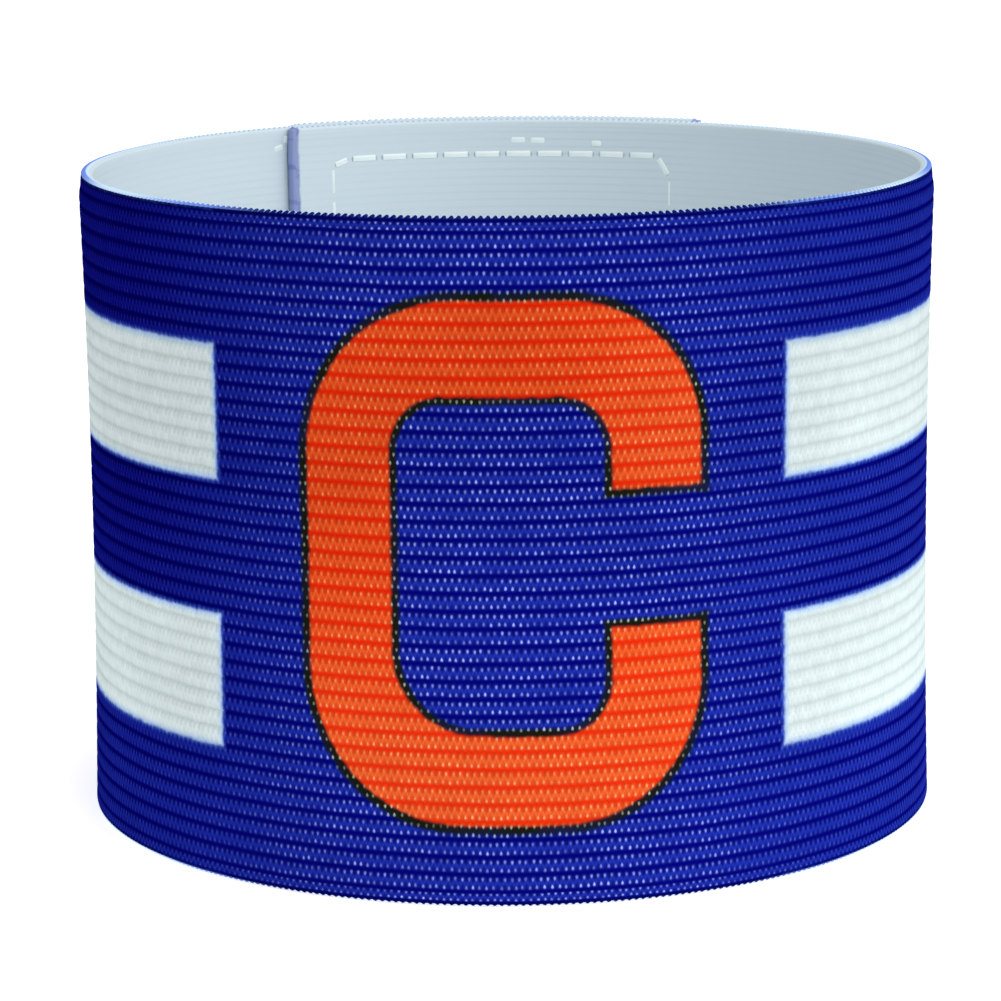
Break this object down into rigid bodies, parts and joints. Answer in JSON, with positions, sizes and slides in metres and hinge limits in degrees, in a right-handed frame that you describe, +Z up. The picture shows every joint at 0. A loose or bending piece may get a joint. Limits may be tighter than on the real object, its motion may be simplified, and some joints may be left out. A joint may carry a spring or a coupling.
{
  "type": "captain armband",
  "caption": "Wide ribbed elastic armband, lapped over itself at the back by hook and loop tape and standing as a round ring, with a block letter on its printed front.",
  "frame": {"origin": "middle of the ring's outline on the surface that it stands on", "axes": "+Z up along the ring's axis, -Y towards the printed front, +X to the right as seen from the front"},
  "size_m": [0.0928, 0.0962, 0.07],
  "materials": {
    "elastic": "woven ribbed elastic, matt, dye-printed blue with white bars and an orange letter outside, undyed pale inside",
    "loop_tape": "brushed nylon loop tape, matt",
    "hook_tape": "woven nylon hook tape, slightly shiny",
    "thread": "twisted polyester sewing thread, satin"
  },
  "bodies": {
    "root": {"band": "elastic", "loop_patch": "loop_tape", "hook_patch": "hook_tape"}
  },
  "joints": []
}
